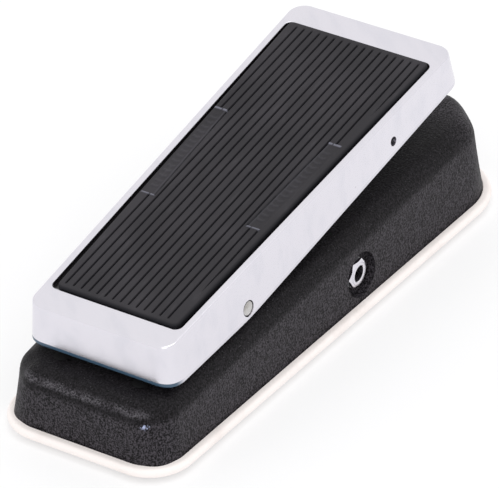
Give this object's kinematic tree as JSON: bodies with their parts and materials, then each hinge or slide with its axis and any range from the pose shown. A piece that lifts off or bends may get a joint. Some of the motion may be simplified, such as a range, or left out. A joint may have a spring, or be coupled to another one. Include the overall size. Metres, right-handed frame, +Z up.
{
  "type": "guitar effects pedal",
  "caption": "Rocker-type guitar effects pedal: chromed treadle with a ribbed rubber tread on a black cast base with a pale rubber edge bead and side jack sockets.",
  "frame": {"origin": "on the floor under the middle of the base, at the bottom centre of the whole pedal", "axes": "+Z up, +Y towards the toe end, +X towards the input jack"},
  "size_m": [0.1006, 0.252, 0.0779],
  "materials": {
    "black_enamel": "fine wrinkle",
    "chrome": "polished",
    "cream_rubber": "smooth",
    "grey_rubber": "matte",
    "steel_plate": "brushed",
    "steel": "satin",
    "black_plastic": "satin",
    "white_nylon": "satin",
    "board": "solder mask",
    "film": "dipped resin",
    "battery_case": "printed sleeve without lettering",
    "red_insulation": "satin"
  },
  "bodies": {
    "base": {"base_housing": "black_enamel", "base_trim": "cream_rubber", "battery": "battery_case", "battery_cradle": "steel", "battery_lead_black": "black_plastic", "battery_lead_red": "red_insulation", "battery_snap": "black_plastic", "board_screw_heel": "steel", "board_screw_toe": "steel", "bottom_plate": "steel_plate", "bracket_screw_1": "steel", "bracket_screw_2": "steel", "circuit_board": "board", "electrolytic_capacitor_1": "battery_case", "electrolytic_capacitor_2": "battery_case", "film_capacitor_1": "film", "film_capacitor_2": "film", "foot_heel_left": "grey_rubber", "foot_heel_right": "grey_rubber", "foot_screw_heel_left": "steel", "foot_screw_heel_right": "steel", "foot_screw_toe_left": "steel", "foot_screw_toe_right": "steel", "foot_toe_left": "grey_rubber", "foot_toe_right": "grey_rubber", "footswitch_body": "steel", "footswitch_inner_nut": "steel", "footswitch_top_nut": "steel", "footswitch_washer": "steel", "heel_bumper_left": "grey_rubber", "heel_bumper_right": "grey_rubber", "hinge_bushing_left": "white_nylon", "hinge_bushing_right": "white_nylon", "inductor": "film", "input_jack": "black_plastic", "input_jack_nut": "chrome", "input_jack_washer": "steel", "output_jack": "black_plastic", "output_jack_nut": "chrome", "output_jack_washer": "steel", "pot_bracket": "steel", "pot_nut": "steel", "potentiometer": "steel", "rack_guide": "white_nylon", "standoff_heel": "white_nylon", "standoff_toe": "white_nylon", "transistor_1": "black_plastic", "transistor_2": "black_plastic"},
    "treadle": {"treadle": "chrome", "rubber_tread": "grey_rubber", "hinge_shaft": "steel", "shaft_set_screw_left": "steel", "shaft_set_screw_right": "steel", "rack_pin": "steel", "toe_bumper": "grey_rubber"},
    "rack": {"gear_rack": "white_nylon"},
    "pot_rotor": {"pinion_gear": "white_nylon", "pot_shaft": "steel"},
    "plunger": {"footswitch_plunger": "chrome"}
  },
  "joints": [
    {"name": "treadle_tilt", "type": "hinge", "parent": "base", "child": "treadle", "pos_m": [0, -0.0572, 0.0431], "axis": [1, 0, 0], "range_deg": [-7, 3]},
    {"name": "rack_slide", "type": "slide", "parent": "base", "child": "rack", "axis": [0, 0, 1], "range_m": [-0.0132, 0.0058]},
    {"name": "pot_spin", "type": "hinge", "parent": "base", "child": "pot_rotor", "pos_m": [0, 0.03869, 0.0253], "axis": [1, 0, 0], "range_deg": [-126, 56]},
    {"name": "footswitch_press", "type": "slide", "parent": "base", "child": "plunger", "axis": [0, 0, -1], "range_m": [0, 0.002], "stiffness_N_per_m": 2500}
  ],
  "couplings": [
    {"joint": "rack_slide", "follows": "treadle_tilt", "m_per_rad": 0.10549},
    {"joint": "pot_spin", "follows": "treadle_tilt", "ratio": 17.582}
  ]
}
